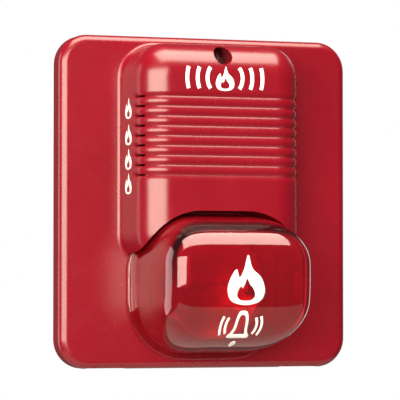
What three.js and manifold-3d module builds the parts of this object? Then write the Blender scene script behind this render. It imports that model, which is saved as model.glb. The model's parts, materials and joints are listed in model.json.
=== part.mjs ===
// Horn strobe: a wall-mounted fire alarm sounder with a flashing beacon.
// Millimetres, +Z up. The origin is the middle of the back face, and the front faces -Y.
import * as THREE from "three";
import { mergeVertices } from "three/addons/utils/BufferGeometryUtils.js";
import Module from "manifold-3d";

const wasm = await Module();
wasm.setup();

// ---------------------------------------------------------------- driving dimensions
const GAP = 0.3; // between pieces that touch

const PLATE = { halfWidth: 59.5, halfHeight: 65, corner: 11.5, back: -0.6, front: -10, edge: 3.2 };
const WALL = 2.4; // moulded wall of the front cover

const TOWER = { halfWidth: 35, bottom: -3.9, top: 61.3, corner: 13.5, front: -33, edge: 11, overrun: 22 };
const DRAFT = { side: 0.09, top: 0.018 }; // how much the tower shrinks from the plate to its front

const RIBS = { count: 9, pitch: 3.79, top: 40, grooveHeight: 1.7, grooveDepth: 1.1, back: -21 };
const SOUND_SLOT = { height: 1.1, back: -22, front: -27.5 };

const LENS = { halfWidth: 30.3, bottom: -59.4, top: -4.6, corner: 21, front: -56, edge: 12, edgeDepth: 15 };
const LENS_WALL = 2;
const FLANGE = { margin: 2.3, thickness: 1.6, back: PLATE.front - 0.5 };
const GASKET = { back: -9.3, front: -10.2, inset: 0.9, width: 2.2, groove: 1 };

const BEACON = { z: -32.5, window: 23, bowl: 20.3, rim: 21.6, flange: 26.5 };
const BOWL = { centre: -9.4, rise: 6.6, thickness: 1.2 };
const TUBE = { y: -19.5, radius: 1.8, halfLength: 13.4, cap: 2.1, capLength: 3.2 };

const SCREW = { z: 56.3, recess: 3.7, bossWall: 1.5, seatFront: -13.9, seatBack: -12.2, hole: 2.1 };
const COVER_SCREW = { head: 3.1, headDepth: 2.6, shank: 1.75, tip: -4.4 };
const CLIP = { outer: 2.9, thickness: 0.5, back: -7.9, relief: 3.4 };

const HINGE = { x: 40, y: -5.2, z: -62.5, pin: 1.5, pinHalf: 7.2, earHalf: 3.4, earRadius: 2.1, socket: 1.9 };
const KNUCKLE = { offset: 5.4, half: 1.1, top: -58, bottom: -64.5, back: -2.3 };
const NOTCH = { half: 8.4, top: -62, front: -7.9 };

const BASE = { halfWidth: 54.4, bottom: -57, top: 61, corner: 9, front: -2.5, lip: -6, lipWall: 1.8 };
const CABLE_ENTRY = { halfWidth: 17, bottom: -44, top: -16 };
const BOX_SLOT = { x: 42, z: 34, half: 2.6, length: 10 };
const BOSS = { radius: 4.8, front: -7.2, bore: 3.2 };
const INSERT = { outer: 2.9, bore: 2.15, back: -3.2 };

const TERMINALS = { count: 4, pitch: 11, bottom: 5, top: 17, front: -10.5, wall: 1.4 };
const CLAMP = { half: 3.6, bottom: 8, top: 15.4, back: -6.4, front: -7.5 };
const CONTACT = { z: 22, half: 1.9, thickness: 0.6, front: -10.7 };

const REAR = { halfWidth: 29.6, bottom: -1.1, top: 50.3, back: -11.5, front: -13, corner: 3 };
const POSTS = { x: 28, low: 8, high: 44, radius: 2.8, bore: 1.3, end: -20 };

const BOARD = { halfWidth: 24.8, bottom: 1.6, top: 50, back: -15, front: -16.6 };
const BOARD_SCREW = { x: 22, low: 4.6, high: 47, boss: 2.6 };

const HORN = { z: 30, radius: 19, wall: 1.2, split: -23, front: -28.4, mouth: 4.2 };
const SELECTOR = { left: -19, right: -5, bottom: 30, top: 37, front: -14.7, back: -11.2, travel: 6.9 };
const OPTIONS = { left: 4.6, right: 15.4, bottom: 30, top: 37, count: 3, pitch: 3.1, travel: 1.8 };
const KNOB = { half: 1.2, tip: -9 };

// ---------------------------------------------------------------- materials
function plastic(color, roughness) {
  return new THREE.MeshStandardMaterial({ color, roughness, metalness: 0 });
}

function metal(color, roughness) {
  return new THREE.MeshStandardMaterial({ color, roughness, metalness: 1 });
}

const red = plastic(0xb01626, 0.22);
const clearRed = new THREE.MeshStandardMaterial({
  color: 0xc03038, roughness: 0.05, metalness: 0, transparent: true, opacity: 0.5,
});
const black = plastic(0x1c1c1e, 0.5);
const rubber = plastic(0x26262a, 0.85);
const ivory = plastic(0xe6e3d8, 0.4);
const green = plastic(0x1d5a34, 0.45);
const glass = plastic(0xe8eef2, 0.05);
const mirror = metal(0xe4e4e6, 0.15);
const steel = metal(0xb4b8bc, 0.35);
const brass = metal(0xc9a45a, 0.3);
const copper = metal(0xb8683a, 0.35);
const ceramic = plastic(0xe9e4d6, 0.5);

// ---------------------------------------------------------------- solids
// A closed geometry as a solid, with its faces turned outwards.
function solid(geometry) {
  const bare = geometry.clone();
  bare.deleteAttribute("normal");
  bare.deleteAttribute("uv");
  const merged = mergeVertices(bare, 1e-4);
  const vertProperties = merged.attributes.position.array;
  const triVerts = new Uint32Array(merged.index.array);
  const made = new wasm.Manifold(new wasm.Mesh({ numProp: 3, vertProperties, triVerts }));
  if (made.volume() > 0) {
    return made;
  }
  return new wasm.Manifold(new wasm.Mesh({ numProp: 3, vertProperties, triVerts: triVerts.reverse() }));
}

function geometryOf(body) {
  const { vertProperties, triVerts } = body.getMesh();
  const geometry = new THREE.BufferGeometry();
  geometry.setAttribute("position", new THREE.BufferAttribute(vertProperties, 3));
  geometry.setIndex(new THREE.BufferAttribute(triVerts, 1));
  geometry.computeVertexNormals();
  return geometry;
}

function union(bodies) {
  return bodies.reduce((joined, body) => joined.add(body));
}

function cut(body, tools) {
  return tools.reduce((left, tool) => left.subtract(tool), body);
}

// A block between two corners.
function block(x0, x1, y0, y1, z0, z1) {
  const geometry = new THREE.BoxGeometry(Math.abs(x1 - x0), Math.abs(y1 - y0), Math.abs(z1 - z0));
  geometry.translate((x0 + x1) / 2, (y0 + y1) / 2, (z0 + z1) / 2);
  return solid(geometry);
}

// A rod along Y from y0 to y1.
function rodY(radius, y0, y1, x = 0, z = 0, sides = 20) {
  const geometry = new THREE.CylinderGeometry(radius, radius, Math.abs(y1 - y0), sides);
  geometry.translate(x, (y0 + y1) / 2, z);
  return solid(geometry);
}

// A rod along X from x0 to x1.
function rodX(radius, x0, x1, y, z, sides = 16) {
  const geometry = new THREE.CylinderGeometry(radius, radius, Math.abs(x1 - x0), sides);
  geometry.rotateZ(Math.PI / 2);
  geometry.translate((x0 + x1) / 2, y, z);
  return solid(geometry);
}

// A turned piece about Y: the profile lists [radius, y] and closes on the axis or on itself.
function turned(profile, sides = 24) {
  return solid(new THREE.LatheGeometry(profile.map(([r, y]) => new THREE.Vector2(r, y)), sides));
}

function ring(outer, inner, y0, y1, sides = 20) {
  return turned([[inner, y0], [outer, y0], [outer, y1], [inner, y1], [inner, y0]], sides);
}

// A rounded rectangle in the front view, x across and z up.
function roundedRect(left, right, bottom, top, radius) {
  const shape = new THREE.Shape();
  shape.absarc(right - radius, top - radius, radius, 0, Math.PI / 2);
  shape.absarc(left + radius, top - radius, radius, Math.PI / 2, Math.PI);
  shape.absarc(left + radius, bottom + radius, radius, Math.PI, Math.PI * 1.5);
  shape.absarc(right - radius, bottom + radius, radius, Math.PI * 1.5, Math.PI * 2);
  shape.closePath();
  return shape;
}

// A front-view shape pushed from back to front, with a rounded edge round its front face.
function pad(shape, back, front, { edge = 0, edgeDepth = edge, arcSteps = 3, edgeSteps = 4 } = {}) {
  const overrun = edge > 0 ? 1 : 0;
  const geometry = new THREE.ExtrudeGeometry(shape, {
    depth: back - front - edgeDepth + overrun,
    curveSegments: arcSteps,
    bevelEnabled: edge > 0,
    bevelThickness: edgeDepth,
    bevelSize: edge,
    bevelOffset: -edge,
    bevelSegments: edgeSteps,
  });
  geometry.translate(0, 0, -overrun);
  geometry.rotateX(Math.PI / 2);
  geometry.translate(0, back, 0);
  const whole = solid(geometry);
  return edge > 0 ? whole.subtract(block(-200, 200, back, back + 100, -200, 200)) : whole;
}

// A side-view outline of [y, z] points, pushed along X from x0 to x1.
function sideProfile(points, x0, x1) {
  const shape = new THREE.Shape(points.map(([y, z]) => new THREE.Vector2(y, z)));
  const geometry = new THREE.ExtrudeGeometry(shape, { depth: x1 - x0, bevelEnabled: false });
  const swap = new THREE.Matrix4().set(0, 0, 1, x0, 1, 0, 0, 0, 0, 1, 0, 0, 0, 0, 0, 1);
  geometry.applyMatrix4(swap);
  return solid(geometry);
}

// A round wire along a smooth curve through points.
function wire(points, radius) {
  const curve = new THREE.CatmullRomCurve3(points.map((p) => new THREE.Vector3(...p)));
  const section = new THREE.Shape();
  section.absarc(0, 0, radius, 0, Math.PI * 2);
  const steps = 12;
  const geometry = new THREE.ExtrudeGeometry(section, { extrudePath: curve, steps, curveSegments: 3 });
  return solid(geometry);
}

// A pan-head screw along Y, its head towards -Y and its seat at y = 0, with a driver slot.
function screw(head, headDepth, shank, length, sides = 10) {
  const body = turned([
    [0, length], [shank, length - shank * 0.5], [shank, 0], [head, 0], [head, -headDepth * 0.5],
    [head * 0.7, -headDepth], [0, -headDepth],
  ], sides);
  const floor = -headDepth * 0.45;
  const half = head * 0.15;
  return body.subtract(block(-head * 2, head * 2, -headDepth - 1, floor, -half, half));
}

// ---------------------------------------------------------------- front cover
// The tower's outline, smaller by inset on every side, drafted towards its front. Its foot arches over the lens.
function towerSolid(inset, back) {
  const left = -TOWER.halfWidth + inset;
  const bottom = TOWER.bottom + inset;
  const shape = roundedRect(left, -left, bottom - TOWER.overrun, TOWER.top - inset, TOWER.corner - inset);
  const whole = pad(shape, back, TOWER.front + inset, { edge: TOWER.edge - inset });
  const depth = PLATE.front - TOWER.front;
  const drafted = whole.warp((v) => {
    const share = Math.max(0, PLATE.front - v[1]) / depth;
    v[0] *= 1 - DRAFT.side * share;
    v[2] = TOWER.bottom + (v[2] - TOWER.bottom) * (1 - DRAFT.top * share);
  });
  const clear = TOWER.bottom - LENS.top + inset;
  return drafted.subtract(pad(lensShape(FLANGE.margin + clear, clear), back + 1, TOWER.front - 1));
}

function grooveHeights() {
  return Array.from({ length: RIBS.count }, (_, i) => RIBS.top - i * RIBS.pitch);
}

// One slab for each groove, left only where it lies outside the groove floor.
function grooveTools() {
  const half = RIBS.grooveHeight / 2;
  const floor = towerSolid(RIBS.grooveDepth, 0);
  const reach = TOWER.halfWidth + 5;
  return grooveHeights().map((z) =>
    block(-reach, reach, RIBS.back, TOWER.front - 5, z - half, z + half).subtract(floor));
}

// Sound slots through both side walls, at the bottom of the grooves.
function soundSlotTools() {
  const half = SOUND_SLOT.height / 2;
  const reach = TOWER.halfWidth + 5;
  const inner = TOWER.halfWidth - 8;
  return grooveHeights().flatMap((z) => [-1, 1].map((side) =>
    block(side * inner, side * reach, SOUND_SLOT.back, SOUND_SLOT.front, z - half, z + half)));
}

function coverPosts() {
  const depth = TOWER.front + WALL / 2;
  return [-1, 1].flatMap((side) => [POSTS.low, POSTS.high].map((z) =>
    rodY(POSTS.radius, REAR.front - GAP, depth, side * POSTS.x, z, 12)));
}

function postBores() {
  return [-1, 1].flatMap((side) => [POSTS.low, POSTS.high].map((z) =>
    rodY(POSTS.bore + GAP, 0, POSTS.end - 1, side * POSTS.x, z, 10)));
}

// Two ribs beside each hinge ear, with a round seat for its pin that opens to the back.
function knuckles() {
  return [-1, 1].flatMap((side) => [-1, 1].map((end) => {
    const x = side * HINGE.x + end * KNUCKLE.offset;
    const rib = block(x - KNUCKLE.half, x + KNUCKLE.half, KNUCKLE.back, PLATE.front + 1, KNUCKLE.bottom, KNUCKLE.top);
    const seat = rodX(HINGE.socket, x - 2, x + 2, HINGE.y, HINGE.z, 12);
    const mouth = block(x - 2, x + 2, HINGE.y, 1, HINGE.z - HINGE.socket, HINGE.z + HINGE.socket);
    return cut(rib, [seat, mouth]);
  }));
}

// Hook notches in the bottom wall, where the hinge ears of the base stand.
function hookNotches() {
  return [-1, 1].map((side) => {
    const x = side * HINGE.x;
    return block(x - NOTCH.half, x + NOTCH.half, 1, NOTCH.front, -PLATE.halfHeight - 1, NOTCH.top);
  });
}

function screwRecess(outer) {
  const tube = rodY(SCREW.recess + SCREW.bossWall, SCREW.seatBack, TOWER.front - 5, 0, SCREW.z, 24);
  return tube.intersect(outer);
}

function frontCover() {
  const { halfWidth, halfHeight, corner, back, front, edge } = PLATE;
  const plate = pad(roundedRect(-halfWidth, halfWidth, -halfHeight, halfHeight, corner), back, front, { edge });
  const innerWidth = halfWidth - WALL;
  const innerHeight = halfHeight - WALL;
  const innerShape = roundedRect(-innerWidth, innerWidth, -innerHeight, innerHeight, corner - WALL);
  const inside = pad(innerShape, 5, front + WALL, { edge: 1.4, edgeSteps: 2 });
  const tower = towerSolid(0, back - 6);
  const outer = plate.add(tower);
  const shell = cut(outer, [inside, towerSolid(WALL, 5), ...hookNotches()]);
  const posts = coverPosts().map((post) => post.intersect(outer));
  const whole = union([shell, screwRecess(outer), ...posts, ...knuckles()]);
  const groove = gasketRing(GASKET.inset - 0.4, GASKET.width + 0.8, front + GASKET.groove, front - 1);
  return cut(whole, [
    groove,
    rodY(BEACON.window, 5, front - 1, 0, BEACON.z, 32),
    rodY(SCREW.recess, SCREW.seatFront, TOWER.front - 6, 0, SCREW.z, 24),
    rodY(SCREW.hole, 0, SCREW.seatFront - 1, 0, SCREW.z, 16),
    rodY(CLIP.relief, 0, SCREW.seatBack, 0, SCREW.z, 16),
    ...postBores(),
    ...grooveTools(),
    ...soundSlotTools(),
  ]);
}

// ---------------------------------------------------------------- lens
function lensShape(margin, topMargin = margin) {
  const half = LENS.halfWidth + margin;
  return roundedRect(-half, half, LENS.bottom - margin, LENS.top + topMargin, LENS.corner + margin);
}

function lens() {
  const { edge, edgeDepth } = LENS;
  const dome = pad(lensShape(0), FLANGE.back, LENS.front, { edge, edgeDepth, edgeSteps: 4 });
  const flange = pad(lensShape(FLANGE.margin, 0), FLANGE.back, FLANGE.back - FLANGE.thickness);
  const hollow = pad(lensShape(-LENS_WALL), FLANGE.back + 5, LENS.front + LENS_WALL, {
    edge: edge - 1, edgeDepth: edgeDepth - 1, edgeSteps: 4,
  });
  return dome.add(flange).subtract(hollow);
}

// A ring that follows the lens outline, inset from the flange's edge.
function gasketRing(inset, width, back, front) {
  const outer = pad(lensShape(FLANGE.margin - inset, -inset), back, front);
  const inner = pad(lensShape(FLANGE.margin - inset - width, -inset - width), back + 1, front - 1);
  return outer.subtract(inner);
}

// ---------------------------------------------------------------- beacon
function bowlDepth(radius) {
  return BOWL.centre - BOWL.rise * (radius / BEACON.bowl) ** 2;
}

function reflector() {
  const steps = 5;
  const radii = Array.from({ length: steps + 1 }, (_, i) => (BEACON.bowl * i) / steps);
  const bowlFront = radii.map((r) => [r, bowlDepth(r)]);
  const bowlBack = radii.slice(0, -1).map((r) => [r, bowlDepth(r) + BOWL.thickness]).reverse();
  const flangeFront = PLATE.front + WALL + GAP;
  const flangeBack = flangeFront + 1.1;
  const rimFront = bowlDepth(BEACON.bowl);
  const body = turned([
    ...bowlFront,
    [BEACON.rim, rimFront],
    [BEACON.rim + 0.8, flangeFront],
    [BEACON.flange, flangeFront],
    [BEACON.flange, flangeBack],
    [BEACON.rim - 0.6, flangeBack],
    [BEACON.bowl, rimFront + 2.4],
    ...bowlBack,
  ], 28);
  const leadHoles = [-1, 1].map((side) => rodY(1.6, 0, -30, side * TUBE_HOLDER_X, 0, 8));
  return cut(body, leadHoles);
}

const TUBE_HOLDER_X = TUBE.halfLength + TUBE.capLength - 0.4;

// The rubber post that carries one end of the flash tube, with a foot through the reflector.
function tubeHolder() {
  const top = TUBE.y - 4;
  const foot = bowlDepth(TUBE_HOLDER_X + 2.6) - GAP;
  const post = pad(roundedRect(-2, 2, -3.6, 3.6, 1.2), foot, top, { arcSteps: 2 });
  const stem = rodY(1.3, foot - 1, bowlDepth(TUBE_HOLDER_X) + 3, 0, 0, 8);
  const seat = rodX(TUBE.cap + GAP, -3, 0.9, TUBE.y, 0, 12);
  return post.add(stem).subtract(seat);
}

function tubeLead() {
  const z = BEACON.z;
  const start = bowlDepth(TUBE_HOLDER_X) + 3 + GAP;
  return wire([
    [0, start, z], [0, -7.6, z + 0.4], [0, -5, z + 3], [0, -4.7, z + 10], [0, -4.7, z + 22],
    [0, -5, z + 30], [0, -8, z + 32.9], [0, -11.5, z + 33.4], [0, -14.6, z + 35.3],
  ], 0.7);
}

// ---------------------------------------------------------------- head, inside
function rearCover() {
  const { halfWidth, bottom, top, back, front, corner } = REAR;
  const plate = pad(roundedRect(-halfWidth, halfWidth, bottom, top, corner), back, front);
  const bosses = [-1, 1].flatMap((side) => [BOARD_SCREW.low, BOARD_SCREW.high].map((z) =>
    rodY(BOARD_SCREW.boss, front + 0.5, BOARD.back + GAP, side * BOARD_SCREW.x, z, 12)));
  const screwBores = [-1, 1].flatMap((side) => [BOARD_SCREW.low, BOARD_SCREW.high].map((z) =>
    rodY(1.4, back - 0.6, BOARD.back - 1, side * BOARD_SCREW.x, z, 10)));
  const postHoles = [-1, 1].flatMap((side) => [POSTS.low, POSTS.high].map((z) =>
    rodY(POSTS.bore + GAP, back + 1, front - 1, side * POSTS.x, z, 10)));
  const leadNotches = [-1, 1].map((side) =>
    block(side * TUBE_HOLDER_X - 1.5, side * TUBE_HOLDER_X + 1.5, back + 1, front - 1, bottom - 1, 3.4));
  const pinHoles = contactPlaces().map((x) => rodY(1.9, back + 1, front - 1, x, CONTACT.z, 12));
  const switchWindows = [SELECTOR, OPTIONS].map((item) =>
    block(item.left - GAP, item.right + GAP, back + 1, front - 1, item.bottom - GAP, item.top + GAP));
  const parts = union([plate, ...bosses]);
  return cut(parts, [...screwBores, ...postHoles, ...leadNotches, ...pinHoles, ...switchWindows]);
}

function mainBoard() {
  const { halfWidth, bottom, top, back, front } = BOARD;
  const plate = pad(roundedRect(-halfWidth, halfWidth, bottom, top, 1.5), back, front);
  const holes = [-1, 1].flatMap((side) => [BOARD_SCREW.low, BOARD_SCREW.high].map((z) =>
    rodY(1.6, back + 1, front - 1, side * BOARD_SCREW.x, z, 12)));
  return cut(plate, holes);
}

function hornChamber() {
  const back = BOARD.front - GAP;
  const { radius, wall, split } = HORN;
  return turned([
    [0, back], [radius, back], [radius, split], [radius - wall, split], [radius - wall, back - wall],
    [0, back - wall],
  ], 24);
}

function hornCap() {
  const { radius, wall, split, front, mouth } = HORN;
  const back = split - 1;
  return turned([
    [mouth, front + wall], [radius - wall, front + wall], [radius - wall, back], [radius, back],
    [radius, front + 0.8], [radius - 0.8, front], [mouth, front], [mouth, front + wall],
  ], 24);
}

function storageCapacitor() {
  const can = rodX(4, -8.2, 8.2, 0, 0, 20);
  const neck = ring(5, 3.7, -0.5, 0.5, 20).rotate([0, 0, 90]).translate([6, 0, 0]);
  return can.subtract(neck);
}

function transformer() {
  const core = block(-4, 4, -7.6, 0, -4, 4);
  const waist = block(-5, 5, -5.8, -1.8, 2.6, 5);
  const waistBelow = block(-5, 5, -5.8, -1.8, -5, -2.6);
  return cut(core, [waist, waistBelow]);
}

function inductorCore() {
  return turned([[0, 0], [3.8, 0], [3.8, -1.2], [1.6, -1.2], [1.6, -6.4], [3.8, -6.4], [3.8, -7.6], [0, -7.6]], 14);
}

function inductorWinding() {
  const turns = 4;
  const pitch = 1.15;
  const start = -1.2 - GAP;
  const outer = Array.from({ length: turns }, (_, i) => start - pitch * i)
    .flatMap((y) => [[3, y], [3.35, y - pitch / 2]]);
  const end = start - pitch * turns;
  return turned([[1.9, start], ...outer, [3, end], [1.9, end], [1.9, start]], 14);
}

function powerTransistor() {
  const body = block(-1.3, 1.3, -7, -1, -3.4, 3.4);
  const tab = block(-1.3, -0.7, -9, -6.5, -3.2, 3.2);
  const legs = [-2.2, 0, 2.2].map((z) => block(-0.3, 0.3, -1.5, 0, z - 0.3, z + 0.3));
  return union([body, tab, ...legs]);
}

function controlChip() {
  const body = block(-4.4, 4.4, 0.2, 1.1, -2, 2);
  const legs = [-1, 1].flatMap((side) => [-3, -1, 1, 3].map((x) =>
    block(x - 0.25, x + 0.25, 0, 0.6, side * 1.8, side * 2.9)));
  return union([body, ...legs]);
}

function contactPin() {
  const front = BOARD.back + GAP;
  return turned([[0, front], [1.1, front], [1.1, -12.6], [1.5, -12.6], [1.5, -11.3], [0.7, -11], [0, -11]], 8);
}

// The selector's housing: an open channel towards the back, where its knob slides.
function selectorHousing() {
  const { left, right, bottom, top, back, front, travel } = SELECTOR;
  const middle = (bottom + top) / 2;
  const slotStart = (left + right - travel) / 2 - KNOB.half - GAP;
  const slotEnd = slotStart + travel + 2 * (KNOB.half + GAP);
  const slot = block(slotStart, slotEnd, back + 1, back - 2, middle - 1.4, middle + 1.4);
  return block(left, right, front, back, bottom, top).subtract(slot);
}

function selectorKnob() {
  const y = SELECTOR.back - 2 + GAP;
  const stem = block(-KNOB.half, KNOB.half, y, SELECTOR.back + 1, -1.1, 1.1);
  const grip = sideProfile([[SELECTOR.back + GAP, -2.4], [SELECTOR.back + GAP, 2.4], [KNOB.tip, 1.4],
    [KNOB.tip, -1.4]], -KNOB.half, KNOB.half);
  return stem.add(grip);
}

function optionPlaces() {
  const middle = (OPTIONS.left + OPTIONS.right) / 2;
  return Array.from({ length: OPTIONS.count }, (_, i) => middle + (i - 1) * OPTIONS.pitch);
}

function optionHousing() {
  const { left, right, bottom, top, travel } = OPTIONS;
  const low = (bottom + top - travel) / 2 - 1 - GAP;
  const high = low + travel + 2 + 2 * GAP;
  const slots = optionPlaces().map((x) =>
    block(x - 1, x + 1, SELECTOR.back + 1, SELECTOR.back - 2, low, high));
  return cut(block(left, right, SELECTOR.front, SELECTOR.back, bottom, top), slots);
}

function optionLever() {
  return block(-0.7, 0.7, SELECTOR.back - 2 + GAP, SELECTOR.back + 0.9, -1, 1);
}

// ---------------------------------------------------------------- base
function hingeEars() {
  return [-1, 1].map((side) => {
    const x0 = side * HINGE.x - HINGE.earHalf;
    const x1 = side * HINGE.x + HINGE.earHalf;
    const eye = rodX(HINGE.earRadius, x0, x1, HINGE.y, HINGE.z, 12);
    const arm = sideProfile([
      [-0.2, BASE.bottom + 1], [BASE.front, BASE.bottom + 1], [HINGE.y - 1.4, HINGE.z + 1.8],
      [HINGE.y + 1.6, HINGE.z - 1.6], [-0.2, HINGE.z + 2.6],
    ], x0, x1);
    const pin = rodX(HINGE.pin, side * HINGE.x - HINGE.pinHalf, side * HINGE.x + HINGE.pinHalf, HINGE.y, HINGE.z, 12);
    return union([arm, eye, pin]);
  });
}

function boxSlots() {
  return [-1, 1].flatMap((side) => [-1, 1].map((level) => {
    const x = side * BOX_SLOT.x;
    const z = level * BOX_SLOT.z;
    const half = BOX_SLOT.length / 2;
    const shape = roundedRect(x - BOX_SLOT.half, x + BOX_SLOT.half, z - half, z + half, BOX_SLOT.half - 0.01);
    return pad(shape, 1, BASE.front - 1, { arcSteps: 2 });
  }));
}

function mountingBase() {
  const { halfWidth, bottom, top, corner, front, lip, lipWall } = BASE;
  const plate = pad(roundedRect(-halfWidth, halfWidth, bottom, top, corner), 0, front);
  const lipOuter = pad(roundedRect(-halfWidth, halfWidth, bottom, top, corner), -1, lip);
  const inner = halfWidth - lipWall;
  const lipInner = pad(roundedRect(-inner, inner, bottom - 20, top - lipWall, corner - lipWall), 0, lip - 1);
  const lipCut = block(-200, 200, front, lip - 1, bottom - 1, bottom + 8);
  const boss = rodY(BOSS.radius, -1, BOSS.front, 0, SCREW.z, 20);
  const body = union([plate, cut(lipOuter, [lipInner, lipCut]), boss, ...hingeEars()]);
  const { halfWidth: entryHalf, bottom: entryBottom, top: entryTop } = CABLE_ENTRY;
  const entry = pad(roundedRect(-entryHalf, entryHalf, entryBottom, entryTop, 5), 1, front - 1);
  const bore = rodY(BOSS.bore, INSERT.back + GAP, BOSS.front - 1, 0, SCREW.z, 16);
  const topLip = block(-9, 9, front - 1.5, lip - 1, top - lipWall - 3, top + 1);
  return cut(body, [entry, bore, topLip, ...boxSlots()]);
}

function terminalPlaces() {
  return Array.from({ length: TERMINALS.count }, (_, i) => (i - (TERMINALS.count - 1) / 2) * TERMINALS.pitch);
}

function contactPlaces() {
  return terminalPlaces();
}

function terminalBlock() {
  const { pitch, count, bottom, top, front, wall } = TERMINALS;
  const half = (pitch * count) / 2 + wall / 2;
  const body = block(-half, half, BASE.front - GAP, front, bottom, top);
  const cells = terminalPlaces().flatMap((x) => {
    const cellHalf = (pitch - wall) / 2;
    const cell = block(x - cellHalf, x + cellHalf, CLAMP.back + 1.2, front - 1, bottom - 1, top - wall);
    const bore = rodY(1.9, BASE.front - 1.4, front, x, (CLAMP.bottom + CLAMP.top) / 2, 12);
    return [cell, bore];
  });
  return cut(body, cells);
}

function clampPlate() {
  const { half, bottom, top, back, front } = CLAMP;
  const middle = (bottom + top) / 2;
  const plate = block(-half, half, back, front, bottom - middle, top - middle);
  const curl = block(-half, half, back + 0.8, front, bottom - middle, bottom - middle + 0.9);
  return plate.add(curl).subtract(rodY(1.8, 0, -20, 0, 0, 14));
}

// A leaf spring that stands on the base and leans forward to meet the head's contact pin.
function contactSpring() {
  const foot = BASE.front - GAP;
  const t = CONTACT.thickness;
  return sideProfile([
    [foot, 17.8], [foot, 26], [foot - t, 26.4], [CONTACT.front + 0.4, CONTACT.z + 1.2],
    [CONTACT.front, CONTACT.z], [CONTACT.front + 0.4, CONTACT.z - 1.2], [-8.6, CONTACT.z - 3.4],
    [-8.2, CONTACT.z - 3], [CONTACT.front + 1, CONTACT.z - 0.9], [CONTACT.front + t + 0.1, CONTACT.z],
    [CONTACT.front + 1, CONTACT.z + 0.9], [foot - t, 25], [foot - t, 17.8],
  ], -CONTACT.half, CONTACT.half);
}

// ---------------------------------------------------------------- assembly
const strobe = new THREE.Group();
const base = new THREE.Group();
const head = new THREE.Group();
strobe.add(base, head);

function place(group, name, body, material, x = 0, y = 0, z = 0) {
  const mesh = new THREE.Mesh(geometryOf(body), material);
  mesh.name = name;
  mesh.position.set(x, y, z);
  group.add(mesh);
  return mesh;
}

// One numbered copy at each place, given as [x, y, z].
function repeat(group, name, body, material, places) {
  places.forEach(([x, y, z], i) => place(group, `${name}_${i + 1}`, body, material, x, y, z));
}

place(base, "mounting_base", mountingBase(), black);
place(base, "screw_insert", ring(INSERT.outer, INSERT.bore, INSERT.back, BOSS.front), brass, 0, 0, SCREW.z);
place(base, "terminal_block", terminalBlock(), ivory);
const clampMiddle = (CLAMP.bottom + CLAMP.top) / 2;
repeat(base, "terminal_clamp", clampPlate(), steel, terminalPlaces().map((x) => [x, 0, clampMiddle]));
repeat(base, "terminal_screw", screw(2.9, 1.7, 1.5, 3.6), steel,
  terminalPlaces().map((x) => [x, CLAMP.front - GAP, clampMiddle]));
repeat(base, "contact_spring", contactSpring(), brass, contactPlaces().map((x) => [x, 0, 0]));

place(head, "front_cover", frontCover(), red);
place(head, "lens", lens(), clearRed);
place(head, "lens_gasket", gasketRing(GASKET.inset, GASKET.width, GASKET.back, GASKET.front), rubber);
place(head, "reflector", reflector(), mirror, 0, 0, BEACON.z);
place(head, "flash_tube", rodX(TUBE.radius, -TUBE.halfLength, TUBE.halfLength, TUBE.y, 0), glass, 0, 0, BEACON.z);
const capCentre = TUBE.halfLength + GAP + TUBE.capLength / 2;
for (const [sideName, side] of [["left", -1], ["right", 1]]) {
  const cap = rodX(TUBE.cap, -TUBE.capLength / 2, TUBE.capLength / 2, TUBE.y, 0);
  place(head, `tube_cap_${sideName}`, cap, steel, side * capCentre, 0, BEACON.z);
  const holder = place(head, `tube_holder_${sideName}`, tubeHolder(), rubber, side * TUBE_HOLDER_X, 0, BEACON.z);
  holder.rotation.y = side > 0 ? 0 : Math.PI;
  place(head, `tube_lead_${sideName}`, tubeLead(), copper, side * TUBE_HOLDER_X);
}

place(head, "rear_cover", rearCover(), black);
repeat(head, "rear_screw", screw(2.3, 1.3, POSTS.bore, 8).rotate([0, 0, 180]), steel,
  [-1, 1].flatMap((side) => [POSTS.low, POSTS.high].map((z) => [side * POSTS.x, REAR.back + GAP, z])));

place(head, "main_board", mainBoard(), green);
repeat(head, "board_screw", screw(2.3, 1.3, 1.1, 4.2), steel,
  [-1, 1].flatMap((side) => [BOARD_SCREW.low, BOARD_SCREW.high].map((z) =>
    [side * BOARD_SCREW.x, BOARD.front - GAP, z])));
repeat(head, "contact_pin", contactPin(), brass, contactPlaces().map((x) => [x, 0, CONTACT.z]));

place(head, "horn_chamber", hornChamber(), black, 0, 0, HORN.z);
place(head, "horn_piezo", rodY(12, HORN.split + GAP, HORN.split + GAP + 0.3, 0, 0, 20), ceramic, 0, 0, HORN.z);
place(head, "horn_diaphragm", rodY(HORN.radius - 0.2, HORN.split - GAP, HORN.split - 0.7, 0, 0, 24), brass,
  0, 0, HORN.z);
place(head, "horn_cap", hornCap(), black, 0, 0, HORN.z);

const onBoard = BOARD.front - GAP;
place(head, "storage_capacitor", storageCapacitor(), black, -10.6, onBoard - 4, 6);
place(head, "trigger_transformer", transformer(), ivory, 2.6, onBoard, 6);
place(head, "inductor_core", inductorCore(), black, 11.4, onBoard, 6);
place(head, "inductor_winding", inductorWinding(), copper, 11.4, onBoard, 6);
place(head, "power_transistor", powerTransistor(), black, 17.4, onBoard, 6);
place(head, "control_chip", controlChip(), black, 0, BOARD.back + GAP, 43.5);

const switchMiddle = (SELECTOR.bottom + SELECTOR.top) / 2;
place(head, "selector_housing", selectorHousing(), black);
place(head, "candela_selector", selectorKnob(), ivory,
  (SELECTOR.left + SELECTOR.right - SELECTOR.travel) / 2, 0, switchMiddle);
place(head, "option_housing", optionHousing(), black);
repeat(head, "option_lever", optionLever(), ivory,
  optionPlaces().map((x) => [x, 0, switchMiddle - OPTIONS.travel / 2]));

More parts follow.
